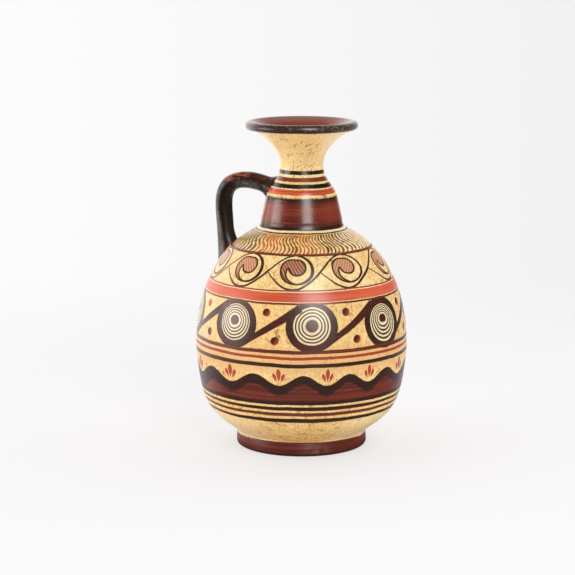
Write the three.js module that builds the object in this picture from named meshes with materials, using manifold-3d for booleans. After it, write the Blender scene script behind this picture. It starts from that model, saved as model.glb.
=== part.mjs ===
// An olpe: a round-bodied pouring jug of painted fired clay, with a bell-shaped neck, a trumpet mouth
// and one looped handle. Millimetres, +Z up. The origin is on the axis, at the level the foot stands on,
// and the handle is toward -X.
//
// The jug is six clay pieces that were shaped one by one and luted together with slip: a ring foot, two
// bowls that make the body, a neck, a mouth and a pulled handle. Turned pieces meet on flat seats, each
// located by a tongue or a spigot. The handle's two roots are cut to the walls they stand on.
import * as THREE from "three";
import { mergeVertices } from "three/addons/utils/BufferGeometryUtils.js";
import Module from "manifold-3d";

// Heights of the stacked pieces, from seat to seat
const footHeight = 8;
const lowerBodyHeight = 54;
const upperBodyHeight = 72.3;
const neckHeight = 32.7;
const mouthHeight = 33;

// Ring foot
const footRadius = 40.2;
const footSeatRadius = 39.5;
const footRingWidth = 8;
const footEdgeRadius = 2.2;

// Body
const bellyRadius = 65;
const bodyWall = 5;
const floorThickness = 6.5;
const floorBlend = 0.3; // where along the flank, from the foot, the inside turns to the floor
const undersideRise = 1.6;
const lowerTurn = new THREE.Vector2(15.2, 13.6); // the outline's pull where it leaves the foot: out and up
const lowerFlank = new THREE.Vector2(2.8, 12.2); // the flank's pull: in from the belly, up from the foot
const bellyRun = 20.2; // how far the belly runs straight up before it turns in
const shoulderPull = new THREE.Vector2(4.8, 15.9); // in from the belly, down from the neck's seat

// Neck
const neckFilletReach = 3.7; // how far the fillet at the neck's base spreads on the shoulder
const neckFilletHeight = 6;
const neckFilletLift = 1.2; // height at which the fillet's two sides would meet
const neckBaseRadius = 24.8;
const neckTopRadius = 21.2;
const neckTaperHeight = 22; // from the neck's seat to its rounded corner
const neckCornerRun = 3; // how far the corner's rounding reaches along each side
const neckWall = 4.4;

// Mouth
const throatRadius = 14;
const mouthWall = 4.2;
const throatRun = 5; // straight stretch of the throat above its seat
const rimRadius = 34.3;
const rimBeadRadius = 2.75;
const flareRise = 11; // pull of the flare, up from the straight throat
const flarePull = new THREE.Vector2(11.5, 5); // pull of the flare, back and down from the bead
const beadUnder = THREE.MathUtils.degToRad(-110); // where the flare's outside runs into the bead
const beadInner = THREE.MathUtils.degToRad(130); // where the bead runs into the flare's inside

// Seats
const luteGap = 0.3; // the film of slip in a located joint
const tongueWidth = 1.6;
const tongueDepth = 1.8;
const neckSpigotDepth = 3;
const neckSpigotWall = 3.2;
const mouthSpigotDepth = 2.5;
const mouthSpigotWall = 1.9;

// Handle
const handleThickness = 10.2;
const handleWidth = 12;
const gripRadius = 52; // from the jug's axis to the middle of the upright
const gripDrop = 20; // from the mouth's seat down to the upright's straightest point
const archRadius = 30; // the arch's pull point above the neck
const archDrop = 3;
const archCornerLift = 1; // how far the arch's outer pull stands above the mouth's seat
const upperRootDrop = 12;
const uprightRun = 9;
const lowerRootPull = new THREE.Vector2(0.8, 10.8); // in from the lower root, down from the middle of the upright
const lowerRootRadius = 50.5;
const upperRootSpread = 2.4; // how far the root spreads on the neck, and how far off it the spreading starts
const upperRootFillet = 7;
const lowerRootSpread = 3.4; // the same on the shoulder, on the root's side toward the neck
const lowerRootFillet = 8;

// Facets
const turnSegments = 48;
const handleSides = 24;
const handleRings = 42;
const outlineSteps = 10;
const cornerSteps = 4;
const beadSteps = 12;

const bellyHeight = footHeight + lowerBodyHeight;
const neckSeatHeight = bellyHeight + upperBodyHeight;
const mouthSeatHeight = neckSeatHeight + neckHeight;
const topHeight = mouthSeatHeight + mouthHeight;
const neckSeatRadius = neckBaseRadius + neckFilletReach;
const neckBoreRadius = neckBaseRadius - neckWall;
const throatBoreRadius = throatRadius - mouthWall;
const tongueInset = (bodyWall - tongueWidth) / 2;
const neckSocketRadius = neckBoreRadius + neckSpigotWall + luteGap;
const mouthSocketRadius = throatBoreRadius + mouthSpigotWall + luteGap;

const point = (radius, height) => new THREE.Vector2(radius, height);

// Outlines are drawn upward in radius and height, so the clay is to the left of the direction of travel.
const lowerBodyOutline = new THREE.CubicBezierCurve(
  point(footSeatRadius, footHeight),
  point(footSeatRadius + lowerTurn.x, footHeight + lowerTurn.y),
  point(bellyRadius - lowerFlank.x, footHeight + lowerFlank.y),
  point(bellyRadius, bellyHeight),
);

const upperBodyOutline = new THREE.CubicBezierCurve(
  point(bellyRadius, bellyHeight),
  point(bellyRadius, bellyHeight + bellyRun),
  point(bellyRadius - shoulderPull.x, neckSeatHeight - shoulderPull.y),
  point(neckSeatRadius, neckSeatHeight),
);

const neckOutline = makeNeckOutline();

const flareOutline = new THREE.CubicBezierCurve(
  point(throatRadius, mouthSeatHeight + throatRun),
  point(throatRadius, mouthSeatHeight + throatRun + flareRise),
  beadPoint(beadUnder).sub(flarePull),
  beadPoint(beadUnder),
);

function makeNeckOutline() {
  const cornerHeight = neckSeatHeight + neckTaperHeight;
  const corner = point(neckTopRadius, cornerHeight);
  const filletTop = point(neckBaseRadius, neckSeatHeight + neckFilletHeight);
  const top = point(throatRadius, mouthSeatHeight);
  const below = corner.clone().add(filletTop.clone().sub(corner).setLength(neckCornerRun));
  const above = corner.clone().add(top.clone().sub(corner).setLength(neckCornerRun));
  const outline = new THREE.Path();
  outline.moveTo(neckSeatRadius, neckSeatHeight);
  outline.quadraticCurveTo(neckBaseRadius, neckSeatHeight + neckFilletLift, filletTop.x, filletTop.y);
  outline.lineTo(below.x, below.y);
  outline.quadraticCurveTo(corner.x, corner.y, above.x, above.y);
  outline.lineTo(top.x, top.y);
  return outline;
}

function beadPoint(angle) {
  const centreRadius = rimRadius - rimBeadRadius;
  const centreHeight = topHeight - rimBeadRadius;
  return point(
    centreRadius + rimBeadRadius * Math.cos(angle),
    centreHeight + rimBeadRadius * Math.sin(angle),
  );
}

// Points along an outline, each moved to its left by a distance
function beside(outline, distance, steps, first = 0) {
  const points = [];
  for (let step = 0; step <= steps; step++) {
    const along = first + ((1 - first) * step) / steps;
    const place = outline.getPoint(along);
    const direction = outline.getTangent(along);
    points.push(point(place.x - direction.y * distance, place.y + direction.x * distance));
  }
  return points;
}

// The radius of a rising outline at a height
function radiusAt(points, height) {
  for (let step = 1; step < points.length; step++) {
    const low = points[step - 1];
    const high = points[step];
    if (height <= high.y) {
      return low.x + ((high.x - low.x) * (height - low.y)) / (high.y - low.y);
    }
  }
  return points.at(-1).x;
}

// The height at which an outline that draws in passes a radius
function heightAt(points, radius) {
  if (radius >= points[0].x) {
    return points[0].y;
  }
  for (let step = 1; step < points.length; step++) {
    const low = points[step - 1];
    const high = points[step];
    if (radius >= high.x) {
      return low.y + ((high.y - low.y) * (low.x - radius)) / (low.x - high.x);
    }
  }
  return points.at(-1).y;
}

// A solid of revolution about +Z. The profile runs round its clay counterclockwise.
function turn(profile) {
  const geometry = new THREE.LatheGeometry(profile, turnSegments);
  geometry.rotateX(Math.PI / 2);
  return geometry;
}

function closed(profile) {
  return [...profile, profile[0].clone()];
}

function makeFootRing() {
  const bore = footRadius - footRingWidth;
  const shape = new THREE.Path();
  shape.moveTo(bore + footEdgeRadius, 0);
  shape.lineTo(footRadius - footEdgeRadius, 0);
  shape.quadraticCurveTo(footRadius, 0, footRadius, footEdgeRadius);
  shape.quadraticCurveTo(footRadius, footHeight - footEdgeRadius, footSeatRadius, footHeight);
  shape.lineTo(bore, footHeight);
  shape.lineTo(bore, footEdgeRadius);
  shape.quadraticCurveTo(bore, 0, bore + footEdgeRadius, 0);
  return turn(shape.getPoints(cornerSteps));
}

function makeLowerBody() {
  const floorTop = footHeight + floorThickness;
  const inside = beside(lowerBodyOutline, bodyWall, outlineSteps, floorBlend);
  const heel = inside[0];
  const slope = lowerBodyOutline.getTangent(floorBlend);
  const floorEdge = heel.x - ((heel.y - floorTop) * slope.x) / slope.y;
  const floor = new THREE.QuadraticBezierCurve(heel, point(floorEdge, floorTop), point(0, floorTop));
  const underside = new THREE.QuadraticBezierCurve(
    point(0, footHeight + undersideRise),
    point((footRadius - footRingWidth) / 2, footHeight + undersideRise),
    point(footRadius - footRingWidth, footHeight),
  );
  const grooveInset = tongueInset - luteGap;
  const grooveFloor = bellyHeight - tongueDepth - luteGap;
  return turn([
    ...underside.getPoints(cornerSteps),
    ...lowerBodyOutline.getPoints(outlineSteps),
    point(bellyRadius - grooveInset, bellyHeight),
    point(bellyRadius - grooveInset, grooveFloor),
    point(bellyRadius - bodyWall + grooveInset, grooveFloor),
    point(bellyRadius - bodyWall + grooveInset, bellyHeight),
    point(bellyRadius - bodyWall, bellyHeight),
    ...inside.reverse().slice(1),
    ...floor.getPoints(cornerSteps).slice(1),
  ]);
}

function makeUpperBody() {
  const inside = beside(upperBodyOutline, bodyWall, outlineSteps);
  const profile = [
    point(bellyRadius - bodyWall + tongueInset, bellyHeight),
    point(bellyRadius - bodyWall + tongueInset, bellyHeight - tongueDepth),
    point(bellyRadius - tongueInset, bellyHeight - tongueDepth),
    point(bellyRadius - tongueInset, bellyHeight),
    ...upperBodyOutline.getPoints(outlineSteps),
    point(neckSocketRadius, neckSeatHeight),
    point(neckSocketRadius, neckSeatHeight - neckSpigotDepth - luteGap),
    ...inside.reverse().slice(0, -1),
    point(bellyRadius - bodyWall, bellyHeight),
  ];
  return turn(closed(profile));
}

function makeNeck() {
  const spigotRadius = neckSocketRadius - luteGap;
  const socketFloor = mouthSeatHeight - mouthSpigotDepth - luteGap;
  const boreCornerHeight = neckSeatHeight + neckTaperHeight - neckWall / 2;
  const profile = [
    point(neckBoreRadius, neckSeatHeight - neckSpigotDepth),
    point(spigotRadius, neckSeatHeight - neckSpigotDepth),
    point(spigotRadius, neckSeatHeight),
    ...neckOutline.getPoints(cornerSteps),
    point(mouthSocketRadius, mouthSeatHeight),
    point(mouthSocketRadius, socketFloor),
    point(throatBoreRadius, socketFloor),
    point(neckTopRadius - neckWall, boreCornerHeight),
  ];
  return turn(closed(profile));
}

function makeMouth() {
  const spigotRadius = mouthSocketRadius - luteGap;
  const bead = [];
  for (let step = 1; step < beadSteps; step++) {
    bead.push(beadPoint(beadUnder + ((beadInner - beadUnder) * step) / beadSteps));
  }
  const inside = beside(flareOutline, mouthWall, outlineSteps);
  inside[inside.length - 1] = beadPoint(beadInner);
  const profile = [
    point(throatBoreRadius, mouthSeatHeight - mouthSpigotDepth),
    point(spigotRadius, mouthSeatHeight - mouthSpigotDepth),
    point(spigotRadius, mouthSeatHeight),
    point(throatRadius, mouthSeatHeight),
    ...flareOutline.getPoints(outlineSteps),
    ...bead,
    ...inside.reverse(),
  ];
  return turn(closed(profile));
}

// The handle's middle line in radius and height: an arch out of the neck, then an upright to the shoulder
function makeHandlePath(shoulder) {
  const grip = point(gripRadius, mouthSeatHeight - gripDrop);
  const buried = heightAt(shoulder, lowerRootRadius + handleThickness) - handleThickness / 2;
  const path = new THREE.CurvePath();
  path.add(new THREE.CubicBezierCurve(
    point(throatBoreRadius, mouthSeatHeight - upperRootDrop),
    point(archRadius, mouthSeatHeight - archDrop),
    point(gripRadius, mouthSeatHeight + archCornerLift),
    grip,
  ));
  path.add(new THREE.CubicBezierCurve(
    grip,
    point(gripRadius, grip.y - uprightRun),
    point(lowerRootRadius - lowerRootPull.x, grip.y - uprightRun - lowerRootPull.y),
    point(lowerRootRadius, buried),
  ));
  return path;
}

// How far a root has spread at a place, from its distance to the neck and its height above the shoulder.
// The lower root spreads toward the neck and sideways, and its outer side runs straight into the shoulder.
function spreadAt(place, middle, shoulder, neck) {
  const radius = Math.hypot(place.x, place.y);
  const aboveShoulder = Math.max(0, place.z - heightAt(shoulder, radius)) * Math.SQRT1_2;
  if (place.z < neckSeatHeight) {
    const inward = (place.x - middle.x) / handleThickness;
    const share = THREE.MathUtils.clamp(0.5 + inward, 0, 1);
    return lowerRootSpread * share * Math.max(0, 1 - aboveShoulder / lowerRootFillet) ** 2;
  }
  const besideNeck = Math.max(0, radius - radiusAt(neck, place.z));
  return upperRootSpread * Math.max(0, 1 - besideNeck / upperRootFillet) ** 2;
}

// The handle before its roots are cut: oval sections along its middle line, spreading as they near the walls
function makeHandleLoft(shoulder, neck) {
  const path = makeHandlePath(shoulder);
  const inPlane = (place) => new THREE.Vector3(-place.x, 0, place.y);
  const positions = [];
  for (let ring = 0; ring <= handleRings; ring++) {
    const place = path.getPointAt(ring / handleRings);
    const direction = path.getTangentAt(ring / handleRings);
    const middle = inPlane(place);
    const across = new THREE.Vector3(direction.y, 0, direction.x);
    const sideways = new THREE.Vector3(0, 1, 0);
    for (let side = 0; side < handleSides; side++) {
      const angle = (2 * Math.PI * side) / handleSides;
      const offset = new THREE.Vector3();
      offset.addScaledVector(across, (Math.cos(angle) * handleThickness) / 2);
      offset.addScaledVector(sideways, (Math.sin(angle) * handleWidth) / 2);
      const spread = spreadAt(middle.clone().add(offset), middle, shoulder, neck);
      offset.setLength(offset.length() + spread);
      positions.push(...middle.clone().add(offset).toArray());
    }
  }
  const startCap = positions.length / 3;
  const endCap = startCap + 1;
  positions.push(...inPlane(path.getPointAt(0)).toArray());
  positions.push(...inPlane(path.getPointAt(1)).toArray());
  const triangles = [];
  for (let side = 0; side < handleSides; side++) {
    const next = (side + 1) % handleSides;
    const last = handleRings * handleSides;
    for (let ring = 0; ring < last; ring += handleSides) {
      triangles.push(ring + side, ring + next, ring + handleSides + next);
      triangles.push(ring + side, ring + handleSides + next, ring + handleSides + side);
    }
    triangles.push(startCap, next, side);
    triangles.push(endCap, last + side, last + next);
  }
  const geometry = new THREE.BufferGeometry();
  geometry.setAttribute("position", new THREE.Float32BufferAttribute(positions, 3));
  geometry.setIndex(triangles);
  return geometry;
}

const wasm = await Module();
wasm.setup();

function solidOf(geometry) {
  const bare = geometry.clone();
  bare.deleteAttribute("normal");
  bare.deleteAttribute("uv");
  const merged = mergeVertices(bare);
  const corners = merged.index.array;
  const triVerts = [];
  for (let corner = 0; corner < corners.length; corner += 3) {
    const [a, b, c] = corners.slice(corner, corner + 3);
    if (a !== b && b !== c && c !== a) {
      triVerts.push(a, b, c);
    }
  }
  return new wasm.Manifold(new wasm.Mesh({
    numProp: 3,
    vertProperties: new Float32Array(merged.attributes.position.array),
    triVerts: new Uint32Array(triVerts),
  }));
}

function geometryOf(solid) {
  const mesh = solid.getMesh();
  const geometry = new THREE.BufferGeometry();
  geometry.setAttribute("position", new THREE.Float32BufferAttribute(mesh.vertProperties, 3));
  geometry.setIndex(Array.from(mesh.triVerts));
  return geometry;
}

// A turned piece without its hollow, grown by the luting gap
function envelope(outlinePoints) {
  return solidOf(turn([point(0, outlinePoints[0].y), ...outlinePoints, point(0, outlinePoints.at(-1).y)]));
}

function makeHandle() {
  const flank = beside(lowerBodyOutline, -luteGap, outlineSteps);
  const shoulder = beside(upperBodyOutline, -luteGap, outlineSteps);
  const body = [...flank.slice(0, -1), ...shoulder];
  const grown = (places) => places.map((place) => point(place.x + luteGap, place.y));
  const neck = grown(neckOutline.getPoints(cornerSteps));
  const throat = grown([point(throatRadius, mouthSeatHeight), ...flareOutline.getPoints(outlineSteps)]);
  const loft = solidOf(makeHandleLoft(shoulder, neck));
  return geometryOf(loft.subtract(envelope(body)).subtract(envelope(neck)).subtract(envelope(throat)));
}

// Finishes: the slip that shows on most of each piece
const creamSlip = { color: 0xd9b777, roughness: 0.45, metalness: 0 };
const brownSlip = { color: 0x5a3423, roughness: 0.4, metalness: 0 };
const blackSlip = { color: 0x2b211d, roughness: 0.4, metalness: 0 };

function addPiece(group, name, geometry, finish) {
  const mesh = new THREE.Mesh(geometry, new THREE.MeshStandardMaterial(finish));
  mesh.name = name;
  group.add(mesh);
}

const olpe = new THREE.Group();
addPiece(olpe, "foot_ring", makeFootRing(), brownSlip);
addPiece(olpe, "lower_body", makeLowerBody(), creamSlip);
addPiece(olpe, "upper_body", makeUpperBody(), creamSlip);
addPiece(olpe, "neck", makeNeck(), brownSlip);
addPiece(olpe, "mouth", makeMouth(), creamSlip);
addPiece(olpe, "handle", makeHandle(), blackSlip);

export default olpe;
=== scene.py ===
import math
from functools import reduce

import bpy
import numpy as np
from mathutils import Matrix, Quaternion, Vector, noise


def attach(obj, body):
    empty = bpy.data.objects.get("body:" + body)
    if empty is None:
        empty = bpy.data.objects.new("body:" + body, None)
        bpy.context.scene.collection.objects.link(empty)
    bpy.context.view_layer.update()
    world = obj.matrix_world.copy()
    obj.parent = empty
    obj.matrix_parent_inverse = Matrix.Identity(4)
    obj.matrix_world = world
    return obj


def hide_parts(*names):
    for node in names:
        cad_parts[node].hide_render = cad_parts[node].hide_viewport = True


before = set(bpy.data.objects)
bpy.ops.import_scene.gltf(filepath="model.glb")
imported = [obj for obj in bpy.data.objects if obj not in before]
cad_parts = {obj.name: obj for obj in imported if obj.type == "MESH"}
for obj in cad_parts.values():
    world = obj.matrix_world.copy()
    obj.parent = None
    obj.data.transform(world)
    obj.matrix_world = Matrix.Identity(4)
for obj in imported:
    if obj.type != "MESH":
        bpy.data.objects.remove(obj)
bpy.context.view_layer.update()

MM = 0.001
TINY = 0.00001  # metres
TURN_STEPS = 160
CURVE_STEPS = 14
OUTLINE_STEPS = 40
CREASE_ANGLE = math.radians(35)

# The painted front is this far round from +X toward -Y, and the photograph looks straight at it
FRONT_TURN = math.radians(68)

# A place whose normal points away from the axis by no more than this counts as inside
OUTWARD_LIMIT = 0.05

# Heights of the seats between the pieces, in millimetres
FOOT_TOP = 8
BELLY = 62
NECK_SEAT = 134.3
MOUTH_SEAT = 167
RIM_TOP = 200

# Radii at the seats and at the rim, and of the hollows inside, in millimetres
FOOT_RADIUS = 39.5
FOOT_HOLE = 32.2
BELLY_RADIUS = 65
BELLY_HOLLOW = 60
NECK_RADIUS = 28.5
NECK_BORE = 20.4
THROAT_RADIUS = 14
THROAT_BORE = 9.8
RIM_RADIUS = 34.3

# Length of outline from the table up to the body's lower edge, in millimetres
RISE_AT_FOOT = 7.70


# Modelling


class Outline:
    """A pen that draws half an outline: radius and height in millimetres, with pulls as in a Bezier curve."""

    def __init__(self, radius, height):
        self.places = [Vector((radius, height))]
        self.pulls_in = [None]
        self.pulls_out = []

    def line(self, radius, height):
        start = self.places[-1]
        end = Vector((radius, height))
        return self.curve(start.lerp(end, 1 / 3), start.lerp(end, 2 / 3), end)

    def bend(self, pull, end):
        start = self.places[-1]
        return self.curve(start.lerp(Vector(pull), 2 / 3), Vector(end).lerp(Vector(pull), 2 / 3), end)

    def curve(self, pull_out, pull_in, end):
        self.pulls_out.append(Vector(pull_out))
        self.pulls_in.append(Vector(pull_in))
        self.places.append(Vector(end))
        return self

    def arc(self, centre, radius, start, end):
        reach = radius * 4 / 3 * math.tan((end - start) / 4)
        middle = Vector(centre)
        first = Vector((math.cos(start), math.sin(start)))
        last = Vector((math.cos(end), math.sin(end)))
        pull_out = middle + first * radius + first.orthogonal() * reach
        pull_in = middle + last * radius - last.orthogonal() * reach
        return self.curve(pull_out, pull_in, middle + last * radius)

    def follow(self, other):
        """Adds the stretches of another outline, which starts where this one ends."""
        for out, pull, end in zip(other.pulls_out, other.pulls_in[1:], other.places[1:]):
            self.curve(out, pull, end)
        return self

    def points(self, steps=OUTLINE_STEPS):
        found = [self.places[0]]
        for start, out, pull, end in zip(self.places, self.pulls_out, self.pulls_in[1:], self.places[1:]):
            for step in range(1, steps + 1):
                t = step / steps
                s = 1 - t
                found.append(start * s ** 3 + out * 3 * s * s * t + pull * 3 * s * t * t + end * t ** 3)
        return found


def deselect():
    bpy.ops.object.select_all(action="DESELECT")


def merge_doubles():
    bpy.ops.object.mode_set(mode="EDIT")
    bpy.ops.mesh.select_all(action="SELECT")
    bpy.ops.mesh.remove_doubles(threshold=TINY)
    bpy.ops.mesh.normals_make_consistent(inside=False)
    bpy.ops.object.mode_set(mode="OBJECT")


def draw_curve(outline, across=1):
    """A curve object of an outline in the upright plane y = 0."""

    def upright(place):
        return (across * place.x * MM, 0, place.y * MM)

    deselect()
    bpy.ops.curve.primitive_bezier_curve_add()
    drawn = bpy.context.object
    spline = drawn.data.splines[0]
    spline.bezier_points.add(len(outline.places) - 2)
    last = len(outline.places) - 1
    for index, point in enumerate(spline.bezier_points):
        place = outline.places[index]
        point.handle_left_type = "FREE"
        point.handle_right_type = "FREE"
        point.co = upright(place)
        point.handle_left = upright(outline.pulls_in[index] if index > 0 else place)
        point.handle_right = upright(outline.pulls_out[index] if index < last else place)
        point.radius = 1
    return drawn


def throw(name, outline, steps=CURVE_STEPS):
    """A piece thrown on the wheel: its outline spun round the axis."""
    piece = draw_curve(outline)
    piece.name = name
    piece.data.resolution_u = steps
    bpy.ops.object.convert(target="MESH")
    piece = bpy.context.object
    bpy.ops.object.mode_set(mode="EDIT")
    bpy.ops.mesh.select_all(action="SELECT")
    bpy.ops.mesh.spin(steps=TURN_STEPS, angle=math.tau, center=(0, 0, 0), axis=(0, 0, 1))
    bpy.ops.object.mode_set(mode="OBJECT")
    merge_doubles()
    bpy.ops.object.shade_smooth_by_angle(angle=CREASE_ANGLE)
    return piece


def read_vertices(piece, what):
    values = np.empty(len(piece.data.vertices) * 3, np.float32)
    piece.data.vertices.foreach_get(what, values)
    return values.reshape(-1, 3)


def store(piece, name, values):
    attribute = piece.data.attributes.new(name, "FLOAT", "POINT")
    attribute.data.foreach_set("value", np.asarray(values, np.float32))


def mark_inside(piece):
    """Stores 1 where the clay faces the axis, up or down, and 0 on the outside."""
    place = read_vertices(piece, "co")
    normal = read_vertices(piece, "normal")
    radius = np.maximum(np.hypot(place[:, 0], place[:, 1]), TINY)
    outward = (place[:, 0] * normal[:, 0] + place[:, 1] * normal[:, 1]) / radius
    store(piece, "inside", outward < OUTWARD_LIMIT)


def mark_rise(piece):
    """Stores the length of outline from the table, in millimetres."""
    place = read_vertices(piece, "co")
    store(piece, "rise", np.interp(place[:, 2] / MM, body_heights, body_lengths))


# Outlines

foot_outline = (
    Outline(34.4, 0)
    .line(38, 0)
    .bend((40.2, 0), (40.2, 2.2))
    .bend((40.2, 5.8), (FOOT_RADIUS, FOOT_TOP))
    .line(FOOT_HOLE, FOOT_TOP)
    .line(FOOT_HOLE, 2.2)
    .bend((FOOT_HOLE, 0), (34.4, 0))
)

lower_flank = (
    Outline(FOOT_RADIUS, FOOT_TOP)
    .bend((39.6, 9.2), (41.2, 10.3))
    .curve((50.9, 18.5), (57.75, 19.85), (61.88, 37.37))
    .curve((63.34, 43.54), (BELLY_RADIUS, 58), (BELLY_RADIUS, BELLY))
)

upper_flank = (
    Outline(BELLY_RADIUS, BELLY)
    .curve((BELLY_RADIUS, 82.2), (60.2, 118.4), (NECK_RADIUS, NECK_SEAT))
)

neck_flank = (
    Outline(NECK_RADIUS, NECK_SEAT)
    .bend((24.8, 135.5), (24.8, 140.3))
    .line(21.86, 153.37)
    .bend((21.2, 156.3), (19.53, 158.79))
    .line(15.1, 165.35)
    .bend((14.15, 166.75), (THROAT_RADIUS, MOUTH_SEAT))
)

lower_outline = (
    Outline(0, 9.6)
    .bend((16.1, 9.6), (FOOT_HOLE, FOOT_TOP))
    .line(FOOT_RADIUS, FOOT_TOP)
    .follow(lower_flank)
    .line(BELLY_HOLLOW, BELLY)
    .curve((BELLY_HOLLOW, 56), (58.4, 43.8), (56.4, 37))
    .curve((55, 31), (52.5, 26.2), (47.4, 21.1))
    .bend((40.9, 14.5), (0, 14.5))
)

upper_outline = (
    Outline(BELLY_RADIUS, BELLY)
    .follow(upper_flank)
    .line(NECK_BORE, NECK_SEAT)
    .line(22, 131.6)
    .curve((56, 114.5), (BELLY_HOLLOW, 81), (BELLY_HOLLOW, BELLY))
    .line(BELLY_RADIUS, BELLY)
)

neck_outline = (
    Outline(NECK_RADIUS, NECK_SEAT)
    .follow(neck_flank)
    .line(THROAT_BORE, MOUTH_SEAT)
    .line(THROAT_BORE, 164.2)
    .line(16.8, 154.1)
    .line(NECK_BORE, NECK_SEAT)
    .line(NECK_RADIUS, NECK_SEAT)
)

BEAD = 2.75
BEAD_MIDDLE = (RIM_RADIUS - BEAD, RIM_TOP - BEAD)
mouth_outline = (
    Outline(THROAT_RADIUS, MOUTH_SEAT)
    .curve((13.6, 169.3), (13.3, 171), (13.3, 174))
    .curve((13.3, 181), (19.8, 189), (30.61, 194.67))
    .arc(BEAD_MIDDLE, BEAD, math.radians(-110), math.radians(-30))
    .arc(BEAD_MIDDLE, BEAD, math.radians(-30), math.radians(50))
    .arc(BEAD_MIDDLE, BEAD, math.radians(50), math.radians(130))
    .curve((19.5, 193.5), (THROAT_BORE, 184.5), (THROAT_BORE, 172))
    .line(THROAT_BORE, MOUTH_SEAT)
    .line(THROAT_RADIUS, MOUTH_SEAT)
)

body_radii, body_heights = np.array(lower_flank.points() + upper_flank.points()[1:]).T
body_steps = np.hypot(np.diff(body_radii), np.diff(body_heights))
body_lengths = RISE_AT_FOOT + np.concatenate([[0], np.cumsum(body_steps)])
neck_radii, neck_heights = np.array(neck_flank.points()).T

foot = throw("thrown_foot", foot_outline)
lower_body = throw("thrown_lower_body", lower_outline)
upper_body = throw("thrown_upper_body", upper_outline)
neck = throw("thrown_neck", neck_outline)
mouth = throw("thrown_mouth", mouth_outline)
for thrown in (foot, lower_body, upper_body, neck, mouth):
    mark_inside(thrown)
for bowl in (lower_body, upper_body):
    mark_rise(bowl)


# The pulled handle

HANDLE_THICKNESS = 10.2
HANDLE_WIDTH = 12
HANDLE_STEPS = 44
SECTION_STEPS = 12
PATH_STEPS = 60
UPPER_SPREAD, UPPER_FILLET = 2.6, 7.5
LOWER_SPREAD, LOWER_FILLET = 3.4, 9

# How deep the roots reach into the walls, and the base, width and steps of the shape that cuts them there
ROOT_DEPTH = 1.4
CUTTER_BASE = 40
CUTTER_RADIUS = 60
CUTTER_STEPS = 8

# Unevenness of the pulled clay in millimetres, and how close its lumps are
HAND_WOBBLE = 0.25
HAND_LUMPS = 60

handle_path = (
    Outline(17.72, 158.21)
    .curve((35.35, 164.62), (52, 165.27), (52, 147))
    .curve((52, 138), (49.7, 127.2), (50.5, 97))
)


def mark_along(piece):
    """Stores the millimetres along the handle from its upper root, and 1 outside to -1 inside its loop."""
    path = handle_path.points(PATH_STEPS)
    steps = [0] + [(end - start).length for start, end in zip(path, path[1:])]
    lengths = np.cumsum(steps)
    along = []
    side = []
    for vertex in piece.data.vertices:
        place = Vector((-vertex.co.x, vertex.co.z)) / MM
        index = min(range(len(path)), key=lambda number: (path[number] - place).length_squared)
        ahead = (path[min(index + 1, len(path) - 1)] - path[max(index - 1, 0)]).normalized()
        outward = Vector((-ahead.y, ahead.x))
        along.append(lengths[index])
        side.append((place - path[index]).dot(outward) / (HANDLE_THICKNESS / 2))
    store(piece, "along", along)
    store(piece, "side", side)


def handle_spread(place, middle):
    """How far, in millimetres, a root has spread at a place of its skin."""
    radius = math.hypot(place.x, place.y) / MM
    height = place.z / MM
    if height < NECK_SEAT:
        shoulder = np.interp(-radius, -body_radii[-OUTLINE_STEPS:], body_heights[-OUTLINE_STEPS:])
        gap = max(0, height - shoulder) * math.sqrt(0.5)
        toward_neck = min(1, max(0, 0.5 + (place.x - middle.x) / MM / HANDLE_THICKNESS))
        return LOWER_SPREAD * toward_neck * max(0, 1 - gap / LOWER_FILLET) ** 2
    wall = np.interp(height, neck_heights, neck_radii)
    return UPPER_SPREAD * max(0, 1 - max(0, radius - wall) / UPPER_FILLET) ** 2


def pull_handle(name):
    """An oval strip of clay pulled along the handle's path, its roots spread and cut inside the walls."""
    deselect()
    bpy.ops.curve.primitive_bezier_circle_add(radius=MM)
    section = bpy.context.object
    section.data.resolution_u = SECTION_STEPS
    for point in section.data.splines[0].bezier_points:
        for part in ("co", "handle_left", "handle_right"):
            place = getattr(point, part)
            setattr(point, part, (place.x * HANDLE_WIDTH / 2, place.y * HANDLE_THICKNESS / 2, 0))
    piece = draw_curve(handle_path, across=-1)
    piece.name = name
    piece.data.resolution_u = HANDLE_STEPS
    piece.data.twist_mode = "MINIMUM"
    piece.data.bevel_mode = "OBJECT"
    piece.data.bevel_object = section
    piece.data.use_fill_caps = True
    bpy.ops.object.convert(target="MESH")
    piece = bpy.context.object
    middles = [Vector((-point.x * MM, 0, point.y * MM)) for point in handle_path.points(2 * PATH_STEPS)]
    for vertex in piece.data.vertices:
        middle = min(middles, key=lambda place: (place - vertex.co).length_squared)
        outward = vertex.co - middle
        if outward.length > MM:
            wobble = noise.noise(vertex.co * HAND_LUMPS) * HAND_WOBBLE
            vertex.co += outward.normalized() * (handle_spread(vertex.co, middle) + wobble) * MM
    merge_doubles()
    core_outline = Outline(0, CUTTER_BASE)
    core_outline.line(CUTTER_RADIUS, CUTTER_BASE)
    wall = lower_flank.points(CUTTER_STEPS)[2 * CUTTER_STEPS + 1:]
    wall += upper_flank.points(2 * CUTTER_STEPS)[1:] + neck_flank.points(CUTTER_STEPS)[1:]
    for point in wall:
        core_outline.line(point.x - ROOT_DEPTH, point.y - (ROOT_DEPTH if point.y < NECK_SEAT else 0))
    core_outline.line(0, MOUTH_SEAT)
    core = throw("root_cutter", core_outline, steps=1)
    deselect()
    piece.select_set(True)
    bpy.context.view_layer.objects.active = piece
    cut = piece.modifiers.new("cut_roots", "BOOLEAN")
    cut.operation = "DIFFERENCE"
    cut.solver = "EXACT"
    cut.object = core
    bpy.ops.object.modifier_apply(modifier=cut.name)
    bpy.data.objects.remove(core)
    bpy.data.objects.remove(section)
    merge_doubles()
    bpy.ops.object.shade_smooth_by_angle(angle=CREASE_ANGLE)
    mark_along(piece)
    return piece


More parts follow.
